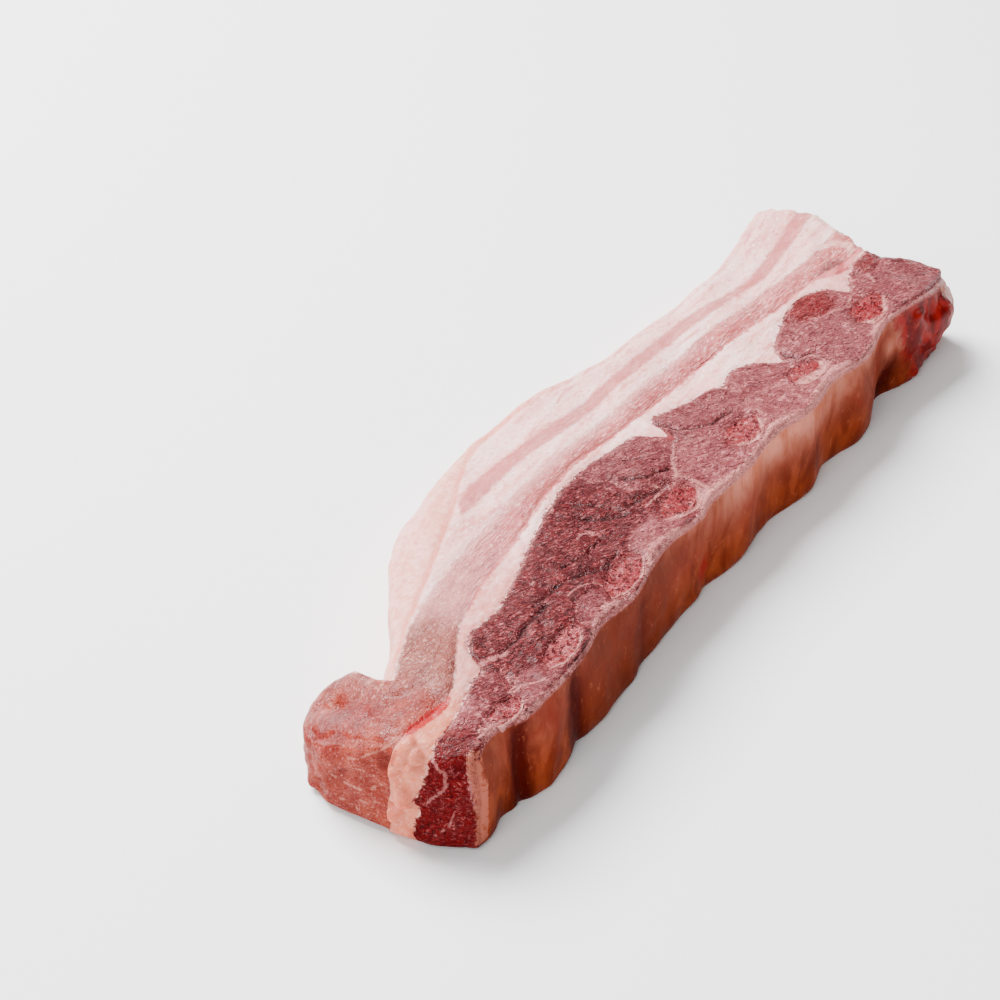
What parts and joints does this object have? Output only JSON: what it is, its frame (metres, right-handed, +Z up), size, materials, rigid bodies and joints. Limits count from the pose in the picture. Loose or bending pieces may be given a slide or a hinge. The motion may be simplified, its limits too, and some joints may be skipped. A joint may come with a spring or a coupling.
{
  "type": "raw pork ribs",
  "caption": "Bar of raw belly ribs cut across the bones: dark rib meat with bone ends, fat seam, pale belly lean with a curled flap, outer fat and rind.",
  "frame": {"origin": "middle of the overall box on the surface that the lower cut face rests on", "axes": "+X along the strip from the flapped end to the square end, +Y from the lined rib side to the rind side, +Z up through the meat from cut face to cut face"},
  "size_m": [0.251, 0.0718, 0.0273],
  "materials": {
    "dark_meat": "wet raw muscle, soft sheen",
    "pale_lean": "wet pale muscle, soft sheen",
    "fat": "firm white fat, soft sheen",
    "bone": "sawn bone with red marrow"
  },
  "bodies": {
    "root": {"rib_meat": "dark_meat", "fat_seam": "fat", "belly_lean": "pale_lean", "outer_fat": "fat", "outer_lean": "pale_lean", "rib_1": "bone", "rib_2": "bone", "rib_3": "bone", "rib_4": "bone", "rib_5": "bone", "rib_6": "bone", "rib_7": "bone"}
  },
  "joints": []
}
